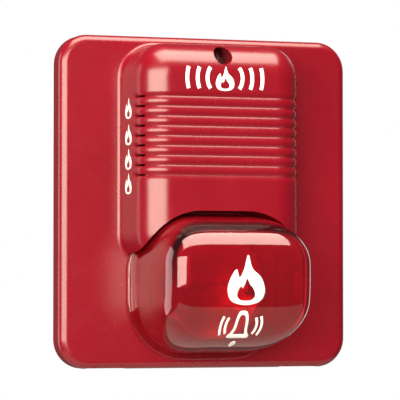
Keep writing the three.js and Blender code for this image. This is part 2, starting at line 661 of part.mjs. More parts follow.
place(head, "cover_screw",
  screw(COVER_SCREW.head, COVER_SCREW.headDepth, COVER_SCREW.shank, COVER_SCREW.tip - SCREW.seatFront - GAP),
  black, 0, SCREW.seatFront - GAP, SCREW.z);
place(head, "screw_clip", ring(CLIP.outer, COVER_SCREW.shank + GAP, CLIP.back - CLIP.thickness, CLIP.back, 16),
  steel, 0, 0, SCREW.z);

export default strobe;
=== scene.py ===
import json
from math import cos, hypot, pi, radians, sin, sqrt, tan

import bmesh
import bpy
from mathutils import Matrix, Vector


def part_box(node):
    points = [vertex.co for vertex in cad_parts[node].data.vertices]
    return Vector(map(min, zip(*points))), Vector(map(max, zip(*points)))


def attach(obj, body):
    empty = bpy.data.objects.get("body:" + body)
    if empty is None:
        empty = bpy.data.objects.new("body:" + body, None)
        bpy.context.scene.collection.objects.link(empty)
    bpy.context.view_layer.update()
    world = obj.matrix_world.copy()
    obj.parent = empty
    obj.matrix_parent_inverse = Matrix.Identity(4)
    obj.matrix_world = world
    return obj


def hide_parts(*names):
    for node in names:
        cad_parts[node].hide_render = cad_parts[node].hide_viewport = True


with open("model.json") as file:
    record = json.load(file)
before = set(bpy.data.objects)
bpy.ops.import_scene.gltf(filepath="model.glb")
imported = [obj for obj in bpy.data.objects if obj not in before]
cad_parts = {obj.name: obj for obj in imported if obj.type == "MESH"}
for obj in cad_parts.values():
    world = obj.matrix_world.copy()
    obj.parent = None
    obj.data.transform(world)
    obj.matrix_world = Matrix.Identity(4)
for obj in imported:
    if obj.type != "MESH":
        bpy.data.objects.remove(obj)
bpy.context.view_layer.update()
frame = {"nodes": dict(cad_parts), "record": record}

# Horn strobe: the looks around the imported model. Shapes are worked out in millimetres and made in metres.
MM = 0.001


def box_mm(node):
    low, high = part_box(node)
    return low / MM, high / MM


COVER_LOW, COVER_HIGH = box_mm("front_cover")
LENS_LOW, LENS_HIGH = box_mm("lens")
SCREW_LOW, SCREW_HIGH = box_mm("cover_screw")
REFLECTOR_LOW, REFLECTOR_HIGH = box_mm("reflector")

# Front cover: a plate with a rolled rim, and a tower whose sides lean in more than its top and foot.
WALL = 2.4
PLATE_X = COVER_HIGH.x
PLATE_Z = COVER_HIGH.z
PLATE_CORNER = 11.5
PLATE_BACK = COVER_HIGH.y
PLATE_FRONT = -10.0
RIM = 3.2
TOWER_X = 35.0
TOWER_TOP = 61.3
TOWER_LOW = -25.9
TOWER_CORNER = 13.5
TOWER_FRONT = COVER_LOW.y
TOWER_EDGE = 12.0
TOWER_DRAFT = radians(8)
TOWER_UPRIGHT = 0.8
TOWER_FOOT = 1.6
TOWER_COLUMNS = 36
TOWER_FOOT_Y = PLATE_FRONT - TOWER_FOOT
TOWER_EDGE_Y = TOWER_FRONT + TOWER_EDGE
TOWER_START_Y = TOWER_FRONT + TOWER_EDGE * (1 - sin(TOWER_DRAFT))

# Ribs: grooves at equal steps down the tower, rounded between.
GROOVES = 9
GROOVE_PITCH = 3.79
GROOVE_TOP = 40.0
GROOVE_DEPTH = 0.5
GROOVE_START = -20.8
GROOVE_FULL = -23.0

# Sound slots, at the grooves' ends.
SLOT_INNER = 26
SLOT_OUTER = 40
SLOT_BACK = -22.5
SLOT_FRONT = -28
SLOT_HALF = 0.4

# The beacon's window, and the cover screw's recess with its seat, hole and clip relief.
BEACON_Z = (REFLECTOR_LOW.z + REFLECTOR_HIGH.z) / 2
BEACON_WINDOW = 23.0
SCREW_Z = (SCREW_LOW.z + SCREW_HIGH.z) / 2
SCREW_HOLE = 2.1
RECESS = 3.7
RECESS_WALL = 1.5
RECESS_SEAT = SCREW_HIGH.y - 9.5
SEAT_BACK = RECESS_SEAT + 1.7
CLIP_RELIEF = 3.4
SKIN = 0.5  # how far the recess's tube stays inside the tower's face

# Posts inside the cover, and the seats and notches for the base's hooks.
POST = 2.8
POST_X = 28.0
POST_HEIGHTS = (8.0, 44.0)
POST_BACK = -13.3
HOOK_X = 40
HOOK_RIB = 5.4
HOOK_RIB_HALF = 1.1
PIN_Y = -5.2
PIN_Z = -62.5
PIN_SEAT = 1.9
PIN_SEAT_HALF = 7
NOTCH_HALF = 8.4

# Lens: a dome that is flat across and round up and down, on a flange.
LENS_X = 30.3
LENS_TOP = LENS_HIGH.z - 0.15
LENS_BOTTOM = LENS_LOW.z + 2.3
LENS_CORNER = 20.0
LENS_Z = -27.0
LENS_BACK = LENS_HIGH.y
LENS_DEPTH = LENS_BACK - LENS_LOW.y
LENS_WALL = 2.0
LENS_STEEP = 14
LENS_UPRIGHT = 2.85
LENS_CLEAR = 0.7
PAINTED_SHADE_HEIGHTS = (-0.034, -0.020)  # metres: the painted shade fades in between them
# Painted shade: the near-black red laid on the lens's upper shoulder in place of the shadow under the tower's
# arch.
SHOULDER_PAINTED_SHADE = (0.055, 0.006, 0.010, 1)
FLANGE_X = LENS_HIGH.x
FLANGE_Z = (LENS_HIGH.z + LENS_LOW.z) / 2
FLANGE_HALF = (LENS_HIGH.z - LENS_LOW.z) / 2
FLANGE_CORNER = 23.3
FLANGE_THICK = 1.6

# Printed marks.
INK = 0.04
INK_LIFT = 0.05
MARK_ROWS = 5
CURVE_STEPS = 6
FRONT_MARK_Z = 47.3
SIDE_MARK_Y = -17.4
SIDE_MARKS = (36.0, 25.8, 16.3, 6.8)
LENS_FLAME = (0.4, -30.2)
LENS_BELL_Z = -48.0

# Studio. Lights: name, azimuth, elevation, distance, width, height, power, colour.
AIM = (0, -0.02, 0)
VIEW = (-19.33, -1.99, 1.0)
FOCAL_LENGTH = 230.7
SHIFT = (-0.035, 0.0045)
FLOOR_HALF = 0.6
FLOOR_Z = -0.42
FILL = 0.10
LIGHTS = (
    ("key", -37, 8, 1.4, 1.9, 0.75, 54, (1.0, 0.91, 0.78)),
    ("overhead", 2, 71, 1.0, 0.95, 0.85, 29, (1.0, 0.91, 0.78)),
    ("left_rim", -126, 2, 1.5, 0.7, 1.4, 9, (1.0, 0.97, 0.95)),
    ("right_rim", 134, 2, 1.5, 0.7, 1.4, 5, (1.0, 0.97, 0.95)),
)


# ---------------------------------------------------------------- camera, light, floor
def aim(obj, target):
    obj.rotation_mode = "QUATERNION"
    obj.rotation_quaternion = (Vector(target) - obj.location).to_track_quat("-Z", "Y")


def from_angles(azimuth, elevation, distance):
    a, e = radians(azimuth), radians(elevation)
    return Vector((sin(a) * cos(e), -cos(a) * cos(e), sin(e))) * distance


def make_camera():
    data = bpy.data.cameras.new("camera")
    camera = bpy.data.objects.new("camera", data)
    bpy.context.collection.objects.link(camera)
    data.sensor_width = 36
    data.lens = FOCAL_LENGTH
    data.shift_x, data.shift_y = SHIFT
    data.clip_start = 0.05
    data.clip_end = 50
    camera.location = Vector(AIM) + from_angles(*VIEW)
    aim(camera, AIM)
    bpy.context.scene.camera = camera


def softbox(name, azimuth, elevation, distance, width, height, power, color):
    data = bpy.data.lights.new(name, "AREA")
    data.shape = "RECTANGLE"
    data.size = width
    data.size_y = height
    data.energy = power
    data.color = color
    light = bpy.data.objects.new(name, data)
    bpy.context.collection.objects.link(light)
    light.location = from_angles(azimuth, elevation, distance)
    aim(light, AIM)
    light.visible_camera = False


def make_world():
    world = bpy.data.worlds.new("studio")
    bpy.context.scene.world = world
    world.use_nodes = True
    nodes = world.node_tree.nodes
    links = world.node_tree.links
    background = nodes["Background"]
    background.inputs["Color"].default_value = (1, 1, 1, 1)
    path = nodes.new("ShaderNodeLightPath")
    strength = nodes.new("ShaderNodeMapRange")
    strength.inputs["To Min"].default_value = FILL
    strength.inputs["To Max"].default_value = 1.0
    links.new(path.outputs["Is Camera Ray"], strength.inputs["Value"])
    links.new(strength.outputs["Result"], background.inputs["Strength"])


def make_floor():
    mesh = bpy.data.meshes.new("floor")
    half, z = FLOOR_HALF, FLOOR_Z
    corners = [(-half, -half, z), (half, -half, z), (half, half, z), (-half, half, z)]
    mesh.from_pydata(corners, [], [(0, 1, 2, 3)])
    floor = bpy.data.objects.new("floor", mesh)
    bpy.context.collection.objects.link(floor)
    material = new_material("floor_paper")
    shader = material.node_tree.nodes["Principled BSDF"]
    shader.inputs["Base Color"].default_value = (0.38, 0.38, 0.375, 1)
    shader.inputs["Roughness"].default_value = 0.9
    mesh.materials.append(material)


# ---------------------------------------------------------------- materials
def new_material(name):
    material = bpy.data.materials.new(name)
    material.use_nodes = True
    return material


class Nodes:
    """Short calls for building one material's node tree."""

    def __init__(self, name):
        self.material = new_material(name)
        self.tree = self.material.node_tree
        self.shader = self.tree.nodes["Principled BSDF"]
        self.place = self.new("ShaderNodeTexCoord").outputs["Object"]

    def new(self, kind, **values):
        node = self.tree.nodes.new(kind)
        for key, value in values.items():
            setattr(node, key, value)
        return node

    def link(self, source, target):
        self.tree.links.new(source, target)

    def set(self, **values):
        for key, value in values.items():
            self.shader.inputs[key.replace("_", " ")].default_value = value

    def noise(self, scale, detail=3.0, roughness=0.5, stretch=(1, 1, 1)):
        mapping = self.new("ShaderNodeMapping")
        mapping.inputs["Scale"].default_value = stretch
        self.link(self.place, mapping.inputs["Vector"])
        node = self.new("ShaderNodeTexNoise")
        node.inputs["Scale"].default_value = scale
        node.inputs["Detail"].default_value = detail
        node.inputs["Roughness"].default_value = roughness
        self.link(mapping.outputs["Vector"], node.inputs["Vector"])
        return node.outputs["Fac"]

    def ramp(self, source, stops):
        node = self.new("ShaderNodeValToRGB")
        elements = node.color_ramp.elements
        for i, (place, color) in enumerate(stops):
            element = elements[i] if i < 2 else elements.new(place)
            element.position = place
            element.color = (*color, 1)
        self.link(source, node.inputs["Fac"])
        return node.outputs["Color"]

    def span(self, source, low, high):
        node = self.new("ShaderNodeMapRange")
        node.inputs["To Min"].default_value = low
        node.inputs["To Max"].default_value = high
        self.link(source, node.inputs["Value"])
        return node.outputs["Result"]

    def color(self, source):
        self.link(source, self.shader.inputs["Base Color"])

    def roughness(self, source):
        self.link(source, self.shader.inputs["Roughness"])

    def bump(self, height, strength, distance=0.0001, after=None):
        node = self.new("ShaderNodeBump")
        node.inputs["Strength"].default_value = strength
        node.inputs["Distance"].default_value = distance
        self.link(height, node.inputs["Height"])
        if after is not None:
            self.link(after, node.inputs["Normal"])
        self.link(node.outputs["Normal"], self.shader.inputs["Normal"])
        return node.outputs["Normal"]


def varied(name, color, roughness, spread=0.12, scale=60, grain=900, grain_strength=0.15, metallic=0.0):
    """A moulded or cast surface: slow colour drift, uneven gloss and fine grain."""
    n = Nodes(name)
    drift = n.noise(scale, 4)
    low = tuple(c * (1 - spread) for c in color)
    high = tuple(min(1, c * (1 + spread)) for c in color)
    n.color(n.ramp(drift, [(0.3, low), (0.7, high)]))
    n.roughness(n.span(n.noise(scale * 3, 5), roughness * 0.85, roughness * 1.15))
    n.bump(n.noise(grain, 3), grain_strength)
    n.set(Metallic=metallic)
    return n.material


def red_housing():
    n = Nodes("red_housing_plastic")
    drift = n.noise(26, 4)
    n.color(n.ramp(drift, [(0.25, (0.158, 0.0009, 0.0068)), (0.5, (0.172, 0.0012, 0.0078)),
                           (0.75, (0.186, 0.0017, 0.0089))]))
    n.roughness(n.span(n.noise(140, 6, 0.6), 0.22, 0.31))
    ripple = n.bump(n.noise(95, 2), 0.10, 0.0002)
    n.bump(n.noise(1400, 2), 0.05, 0.00005, after=ripple)
    n.set(IOR=1.54)
    return n.material


def lens_clear():
    """Clear red plastic, with painted shade: a near-black red on the upper shoulder's slanting faces, where
    the dark gap under the tower's arch shows.
    """
    n = Nodes("lens_clear_red")
    tint = n.ramp(n.noise(30, 2), [(0.3, (0.47, 0.012, 0.030)), (0.7, (0.51, 0.016, 0.037))])
    # Painted shade: faces half turned to the front, above a set height, are mixed towards a near-black red.
    normal = n.new("ShaderNodeSeparateXYZ")
    n.link(n.new("ShaderNodeTexCoord").outputs["Normal"], normal.inputs["Vector"])
    facing = n.new("ShaderNodeMath", operation="ABSOLUTE")
    n.link(normal.outputs["Y"], facing.inputs[0])
    shade_facing_band = n.ramp(facing.outputs["Value"], [(0.20, (0, 0, 0)), (0.70, (0, 0, 0)), (0.36, (1, 1, 1)),
                                                (0.56, (1, 1, 1))])
    place = n.new("ShaderNodeSeparateXYZ")
    n.link(n.place, place.inputs["Vector"])
    shade_height_share = n.new("ShaderNodeMapRange")
    shade_height_share.inputs["From Min"].default_value, shade_height_share.inputs["From Max"].default_value = PAINTED_SHADE_HEIGHTS
    n.link(place.outputs["Z"], shade_height_share.inputs["Value"])
    painted_shade_share = n.new("ShaderNodeMath", operation="MULTIPLY")
    n.link(shade_facing_band, painted_shade_share.inputs[0])
    n.link(shade_height_share.outputs["Result"], painted_shade_share.inputs[1])
    painted_shade_mix = n.new("ShaderNodeMix", data_type="RGBA")
    n.link(painted_shade_share.outputs["Value"], painted_shade_mix.inputs["Factor"])
    n.link(tint, painted_shade_mix.inputs[6])
    painted_shade_mix.inputs[7].default_value = SHOULDER_PAINTED_SHADE
    n.color(painted_shade_mix.outputs[2])
    n.roughness(n.span(n.noise(160, 4), 0.02, 0.05))
    n.bump(n.noise(60, 2), 0.03, 0.0002)
    n.set(Transmission_Weight=0.86, IOR=1.50)
    lets_light = n.new("ShaderNodeBsdfTransparent")
    lets_light.inputs["Color"].default_value = (0.60, 0.10, 0.13, 1)
    path = n.new("ShaderNodeLightPath")
    mix = n.new("ShaderNodeMixShader")
    n.link(path.outputs["Is Shadow Ray"], mix.inputs["Fac"])
    n.link(n.shader.outputs["BSDF"], mix.inputs[1])
    n.link(lets_light.outputs["BSDF"], mix.inputs[2])
    n.link(mix.outputs["Shader"], n.tree.nodes["Material Output"].inputs["Surface"])
    return n.material


def white_print():
    n = Nodes("white_pad_print")
    n.color(n.ramp(n.noise(350, 4), [(0.3, (0.80, 0.79, 0.78)), (0.7, (0.93, 0.92, 0.91))]))
    n.roughness(n.span(n.noise(700, 3), 0.32, 0.48))
    n.bump(n.noise(1800, 2), 0.2, 0.00003)
    return n.material


def glass():
    n = Nodes("tube_glass")
    n.color(n.ramp(n.noise(90, 2), [(0.3, (0.93, 0.96, 1.0)), (0.7, (1, 1, 1))]))
    n.roughness(n.span(n.noise(300, 3), 0.0, 0.03))
    n.set(Transmission_Weight=1.0, IOR=1.47)
    return n.material


def metal(name, color, roughness):
    return varied(name, color, roughness, spread=0.08, scale=120, grain=1200,
                  grain_strength=0.1, metallic=1.0)


def circuit_board():
    """Green solder mask in two tones, with tracks in a lighter green."""
    n = Nodes("circuit_board")
    brick = n.new("ShaderNodeTexBrick")
    mapping = n.new("ShaderNodeMapping")
    mapping.inputs["Rotation"].default_value = (pi / 2, 0, 0)
    n.link(n.place, mapping.inputs["Vector"])
    n.link(mapping.outputs["Vector"], brick.inputs["Vector"])
    brick.inputs["Scale"].default_value = 160
    brick.inputs["Mortar Size"].default_value = 0.03
    brick.inputs["Color1"].default_value = (0.012, 0.095, 0.038, 1)
    brick.inputs["Color2"].default_value = (0.014, 0.115, 0.045, 1)
    brick.inputs["Mortar"].default_value = (0.035, 0.22, 0.09, 1)
    n.color(brick.outputs["Color"])
    n.roughness(n.span(n.noise(200, 3), 0.25, 0.4))
    n.bump(brick.outputs["Fac"], 0.3, 0.00005)
    return n.material


# ---------------------------------------------------------------- mesh helpers
def finish_mesh(bm, name, material, body, replaced=(), sharp=35):
    """A smooth-shaded piece from a bmesh, with its body, replaced nodes and slot."""
    bmesh.ops.recalc_face_normals(bm, faces=bm.faces)
    for face in bm.faces:
        face.smooth = True
    mesh = bpy.data.meshes.new(name)
    bm.to_mesh(mesh)
    bm.free()
    mesh.set_sharp_from_angle(angle=radians(sharp))
    obj = bpy.data.objects.new(name, mesh)
    bpy.context.collection.objects.link(obj)
    mesh.materials.append(material)
    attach(obj, body)
    if replaced:
        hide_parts(*replaced)
    return obj


def vertex(bm, x, y, z):
    return bm.verts.new((x * MM, y * MM, z * MM))


def loft(bm, rings, closed=True):
    """Quads between neighbouring rings of vertices."""
    for a, b in zip(rings, rings[1:]):
        count = len(a)
        for i in range(count if closed else count - 1):
            j = (i + 1) % count
            bm.faces.new((a[i], a[j], b[j], b[i]))


def arc(centre_x, centre_z, radius, start, end, steps):
    """Points on an arc, in degrees, both ends in."""
    angles = [radians(start + (end - start) * i / steps) for i in range(steps + 1)]
    return [(centre_x + radius * cos(a), centre_z + radius * sin(a)) for a in angles]


def rounded_outline(half_x, half_z, radius, steps, side_steps, middle_z=0.0):
    """A closed rounded rectangle, its sides cut into equal steps."""
    corners = [(1, 1, 0), (-1, 1, 90), (-1, -1, 180), (1, -1, 270)]
    points = []
    for sx, sz, start in corners:
        cx, cz = sx * (half_x - radius), middle_z + sz * (half_z - radius)
        turn = arc(cx, cz, radius, start, start + 90, steps)
        if points:
            points += between(points[-1], turn[0], side_steps)
        points += turn
    return points + between(points[-1], points[0], side_steps)


def between(a, b, steps):
    """Points at equal steps from a to b, without the ends."""
    (ax, az), (bx, bz) = a, b
    return [(ax + (bx - ax) * i / steps, az + (bz - az) * i / steps) for i in range(1, steps)]


def boolean(obj, tool, operation):
    modifier = obj.modifiers.new("cut", "BOOLEAN")
    modifier.operation = operation
    modifier.solver = "EXACT"
    modifier.object = tool
    graph = bpy.context.evaluated_depsgraph_get()
    mesh = bpy.data.meshes.new_from_object(obj.evaluated_get(graph))
    obj.modifiers.clear()
    old = obj.data
    obj.data = mesh
    bpy.data.meshes.remove(old)
    bpy.data.objects.remove(tool)


def tool_object(bm):
    bmesh.ops.recalc_face_normals(bm, faces=bm.faces)
    mesh = bpy.data.meshes.new("tool")
    bm.to_mesh(mesh)
    bm.free()
    tool = bpy.data.objects.new("tool", mesh)
    bpy.context.collection.objects.link(tool)
    return tool


def add_prism(bm, outline, y0, y1):
    """A closed prism along Y over an outline of (x, z) points."""
    front = [vertex(bm, x, y0, z) for x, z in outline]
    back = [vertex(bm, x, y1, z) for x, z in outline]
    loft(bm, [front, back])
    bm.faces.new(front)
    bm.faces.new(list(reversed(back)))


def add_block(bm, x0, x1, y0, y1, z0, z1):
    add_prism(bm, [(x0, z0), (x1, z0), (x1, z1), (x0, z1)], y0, y1)


def circle(radius, count, x=0.0, z=0.0):
    turns = [2 * pi * i / count for i in range(count)]
    return [(x + radius * cos(turn), z + radius * sin(turn)) for turn in turns]


# ---------------------------------------------------------------- front cover
def groove_depth(z):
    """How deep the ribbed surface lies at a height: round ridges between narrow grooves."""
    place = (GROOVE_TOP - z) / GROOVE_PITCH
    nearest = min(max(round(place), 0), GROOVES - 1)
    beyond = place < 0 or place > GROOVES - 1
    off = abs(place - nearest) / 0.5
    if off >= 1:
        return 0.0
    return GROOVE_DEPTH * (1 - off) ** (1.5 if beyond else 1.9)


def tower_heights():
    """Heights of the rows along the tower's straight sides: close together over the ribs."""
    low = TOWER_LOW + TOWER_CORNER
    high = TOWER_TOP - TOWER_CORNER
    ribs_low = GROOVE_TOP - (GROOVES - 0.5) * GROOVE_PITCH
    ribs_high = GROOVE_TOP + 0.5 * GROOVE_PITCH
    fine = GROOVES * 16
    heights = [low + (ribs_low - low) * i / 8 for i in range(8)]
    heights += [ribs_low + (ribs_high - ribs_low) * i / fine for i in range(fine)]
    heights += [ribs_high + (high - ribs_high) * i / 5 for i in range(5)]
    return heights


def tower_path():
    """The tower's foot line as four runs of points with inward normals: left, top, right and bottom."""
    heights = tower_heights()
    low = TOWER_LOW + TOWER_CORNER
    high = TOWER_TOP - TOWER_CORNER
    flat = TOWER_X - TOWER_CORNER

    def corner(cx, cz, start):
        turns = [radians(start - 90 * i / 12) for i in range(13)]
        return [((cx + TOWER_CORNER * cos(t), cz + TOWER_CORNER * sin(t)), (-cos(t), -sin(t))) for t in turns]

    left = [((-TOWER_X, z), (1, 0)) for z in heights]
    across = [2 * flat * i / TOWER_COLUMNS for i in range(1, TOWER_COLUMNS)]
    top = [((-flat + x, TOWER_TOP), (0, -1)) for x in across]
    right = [((TOWER_X, z), (-1, 0)) for z in reversed(heights[1:])]
    bottom = [((flat - x, TOWER_LOW), (0, 1)) for x in across]
    left_half = corner(-flat, low, 270)[:-1] + left + corner(-flat, high, 180)
    right_half = corner(flat, high, 90) + right + corner(flat, low, 0)
    return left_half, top, right_half, bottom


def tower_profile(inset):
    """(distance in from the foot line, y, groove direction), from behind the face to the front edge."""
    run = TOWER_DRAFT
    start_y = TOWER_EDGE_Y - TOWER_EDGE * sin(run)
    foot_y = TOWER_FOOT_Y
    middle = (foot_y - start_y) * tan(run) + TOWER_EDGE * cos(run)
    outwards = (cos(run), sin(run))
    points = [(inset - TOWER_FOOT, PLATE_BACK + 3 if inset else PLATE_FRONT + 1.2, outwards)]
    for i in range(6):
        turn = (pi / 2 - run) * i / 5
        points.append((inset - TOWER_FOOT * (1 - sin(turn)), foot_y + TOWER_FOOT * cos(turn), outwards))
    steps = 8
    for i in range(1, steps):
        y = foot_y + (start_y - foot_y) * i / steps
        points.append(((foot_y - y) * tan(run) + inset, y, outwards))
    steps = 18
    for i in range(steps + 1):
        turn = (pi / 2 - run) * (1 - i / steps)
        radius = TOWER_EDGE - inset
        in_by, y = middle - radius * sin(turn), TOWER_EDGE_Y - radius * cos(turn)
        points.append((in_by, y, (sin(turn), cos(turn))))
    return points


def tower_solid(inset, ribs):
    """The tower as a closed solid: its path swept along the profile, with a flat back and a gridded front."""
    bm = bmesh.new()
    left, top, right, bottom = tower_path()
    path = left + top + right + bottom
    strips = []
    for distance, y, (across, along) in tower_profile(inset):
        reach = min(1.0, max(0.0, (GROOVE_START - y) / (GROOVE_START - GROOVE_FULL)))
        lean = min(max(0.0, TOWER_FOOT_Y - y), TOWER_FOOT_Y - TOWER_START_Y) * tan(TOWER_DRAFT)
        upright = lean * TOWER_UPRIGHT
        strip = []
        for (x, z), (nx, nz) in path:
            depth = groove_depth(z) * reach if ribs else 0.0
            d = distance + depth * across
            strip.append(vertex(bm, x + nx * d, y + depth * along, z + nz * (d - upright)))
        strips.append(strip)
    loft(bm, strips)
    bm.faces.new(strips[0])

    inner = strips[-1]
    count = len(left)
    left_side = inner[:count]
    top_row = inner[count:count + len(top)]
    right_side = inner[count + len(top):count + len(top) + len(right)][::-1]
    bottom_row = inner[count + len(top) + len(right):][::-1]
    rows = [[left_side[0], *bottom_row, right_side[0]]]
    for first, last in list(zip(left_side, right_side))[1:-1]:
        steps = [i / TOWER_COLUMNS for i in range(1, TOWER_COLUMNS)]
        rows.append([first, *[bm.verts.new(first.co.lerp(last.co, share)) for share in steps], last])
    rows.append([left_side[-1], *top_row, right_side[-1]])
    loft(bm, rows, closed=False)
    return tool_object(bm)


def arch_tool(inset):
    """What is cut from the tower's foot: the lens outline with its clearance."""
    bm = bmesh.new()
    clear = LENS_CLEAR + inset
    half_z = FLANGE_HALF + clear
    outline = rounded_outline(FLANGE_X + clear, half_z, FLANGE_CORNER + clear, 24, 4, FLANGE_Z)
    add_prism(bm, outline, PLATE_FRONT + (9 if inset else 0.6), TOWER_FRONT - 5)
    return tool_object(bm)


def plate_solid(inset, back):
    """The plate with its rolled rim as a closed solid."""
    bm = bmesh.new()
    outline = rounded_outline(PLATE_X, PLATE_Z, PLATE_CORNER, 16, 1)
    radius = RIM - inset
    levels = [(inset, back)]
    levels += [(RIM - radius * cos(turn), PLATE_FRONT + RIM - radius * sin(turn))
               for turn in [pi / 2 * i / 12 for i in range(13)]]
    rings = [[vertex(bm, x, y, z) for x, z in inset_outline(outline, distance)] for distance, y in levels]
    loft(bm, rings)
    bm.faces.new(rings[0])
    bm.faces.new(rings[-1])
    return tool_object(bm)


def inset_outline(outline, distance):
    """The plate's outline moved inwards: its corner centres stay where they are."""
    result = []
    for x, z in outline:
        cx = max(PLATE_CORNER - PLATE_X, min(PLATE_X - PLATE_CORNER, x))
        cz = max(PLATE_CORNER - PLATE_Z, min(PLATE_Z - PLATE_CORNER, z))
        reach = hypot(x - cx, z - cz)
        keep = (reach - distance) / reach
        result.append((cx + (x - cx) * keep, cz + (z - cz) * keep))
    return result


def screw_tube():
    """The tube round the screw's recess, kept inside the tower's skin."""
    bm = bmesh.new()
    add_prism(bm, circle(RECESS + RECESS_WALL, 48, 0, SCREW_Z), SEAT_BACK, TOWER_FRONT + 6)
    tube = tool_object(bm)
    boolean(tube, tower_solid(SKIN, False), "INTERSECT")
    return tube


def cover_bosses():
    """Inside the cover: four posts, and the ribs that hold the hinge pins."""
    bm = bmesh.new()
    for side in (-1, 1):
        for z in POST_HEIGHTS:
            add_prism(bm, circle(POST, 24, side * POST_X, z), POST_BACK, TOWER_FRONT + 4.5)
        for end in (-1, 1):
            x = side * HOOK_X + end * HOOK_RIB
            add_block(bm, x - HOOK_RIB_HALF, x + HOOK_RIB_HALF, -2.3, PLATE_FRONT + 1, -64.5, -58)
    return tool_object(bm)


def cover_cuts():
    """Every hole in the cover: recess, screw hole, beacon window, sound slots and hook notches."""
    bm = bmesh.new()
    add_prism(bm, circle(RECESS, 64, 0, SCREW_Z), RECESS_SEAT, TOWER_FRONT - 4)
    add_prism(bm, circle(SCREW_HOLE, 32, 0, SCREW_Z), SEAT_BACK + 0.5, RECESS_SEAT - 0.5)
    add_prism(bm, circle(CLIP_RELIEF, 32, 0, SCREW_Z), PLATE_BACK + 2, SEAT_BACK)
    add_prism(bm, circle(BEACON_WINDOW, 96, 0, BEACON_Z), 2, PLATE_FRONT - 3)
    for side in (-1, 1):
        hook = side * HOOK_X
        add_block(bm, hook - NOTCH_HALF, hook + NOTCH_HALF, 1, -7.9, -66, -62)
        ends = sorted((side * SLOT_INNER, side * SLOT_OUTER))
        for i in range(GROOVES):
            z = GROOVE_TOP - i * GROOVE_PITCH
            add_block(bm, *ends, SLOT_BACK, SLOT_FRONT, z - SLOT_HALF, z + SLOT_HALF)
    return tool_object(bm)


def hinge_seats():
    """Where the hook pins sit: round at the front, open to the back."""
    bm = bmesh.new()
    y, z, radius = PIN_Y, PIN_Z, PIN_SEAT
    turns = [pi / 2 + pi * i / 16 for i in range(17)]
    outline = [(y + radius * cos(turn), z + radius * sin(turn)) for turn in turns]
    outline += [(1, z - radius), (1, z + radius)]
    for side in (-1, 1):
        hook = side * HOOK_X
        sides = (hook - PIN_SEAT_HALF, hook + PIN_SEAT_HALF)
        ends = [[vertex(bm, x, py, pz) for py, pz in outline] for x in sides]
        loft(bm, ends)
        bm.faces.new(ends[0])
        bm.faces.new(ends[1])
    return tool_object(bm)


def front_cover(material):
    cover = tower_solid(0.0, True)
    boolean(cover, arch_tool(0.0), "DIFFERENCE")
    boolean(cover, plate_solid(0.0, PLATE_BACK), "UNION")
    hollow = tower_solid(WALL, False)
    boolean(hollow, arch_tool(WALL), "DIFFERENCE")
    boolean(cover, hollow, "DIFFERENCE")
    boolean(cover, plate_solid(WALL, 5), "DIFFERENCE")
    boolean(cover, screw_tube(), "UNION")
    boolean(cover, cover_bosses(), "UNION")
    boolean(cover, cover_cuts(), "DIFFERENCE")
    boolean(cover, hinge_seats(), "DIFFERENCE")
    cover.name = "front_cover_moulding"
    cover.data.name = cover.name
    cover.data.shade_smooth()
    cover.data.set_sharp_from_angle(angle=radians(33))
    cover.data.materials.clear()
    cover.data.materials.append(material)
    even = cover.modifiers.new("even_shading", "WEIGHTED_NORMAL")
    even.keep_sharp = True
    even.weight = 80
    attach(cover, "head")
    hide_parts("front_cover")


# ---------------------------------------------------------------- lens
def dome_depth(share, z):
    """How far the dome stands out, 0 to 1: steep at its outline, round up and down its middle."""
    reach = LENS_TOP - LENS_Z if z > LENS_Z else LENS_Z - LENS_BOTTOM
    upright = min(1, abs(z - LENS_Z) / reach)
    across = max(0, 1 - min(1, share) ** LENS_STEEP) ** 0.25
    return across * (1 - upright ** LENS_UPRIGHT) ** (1 / LENS_UPRIGHT)


def dome_outline(inset):
    half_z = (LENS_TOP - LENS_BOTTOM) / 2 - inset
    middle = (LENS_TOP + LENS_BOTTOM) / 2
    return rounded_outline(LENS_X - inset, half_z, LENS_CORNER - inset, 28, 20, middle)


def lens_skin(bm, wall):
    """The dome's rings, from its foot to near its middle, and a centre vertex."""
    outline = dome_outline(wall)
    count = len(outline)
    depth = LENS_DEPTH - wall
    steps = 64
    rings = []
    for k in range(steps):
        share = cos(pi / 2 * k / steps) ** 0.3
        ring = []
        for x, z in outline:
            height = LENS_Z + (z - LENS_Z) * share
            ring.append(vertex(bm, x * share, LENS_BACK - depth * dome_depth(share, height), height))
        rings.append(ring)
    loft(bm, rings)
    middle = vertex(bm, 0, LENS_BACK - depth, LENS_Z)
    last = rings[-1]
    for i in range(count):
        bm.faces.new((last[i], last[(i + 1) % count], middle))
    return rings[0]


def lens(material):
    bm = bmesh.new()
    outer = lens_skin(bm, 0.0)
    inner = lens_skin(bm, LENS_WALL)
    front = LENS_BACK - FLANGE_THICK
    for v in outer:
        v.co.y = front * MM
    rings = [outer]
    for inset, y in [(0.45, front), (0.13, front + 0.13), (0.0, front + 0.45), (0.0, LENS_BACK - 0.3),
                     (0.3, LENS_BACK)]:
        edge = rounded_outline(FLANGE_X - inset, FLANGE_HALF - inset, FLANGE_CORNER - inset, 28, 20, FLANGE_Z)
        rings.append([vertex(bm, x, y, z) for x, z in edge])
    rings.append(inner)
    loft(bm, rings)
    finish_mesh(bm, "dome_lens", material, "head", ("lens",), sharp=50)


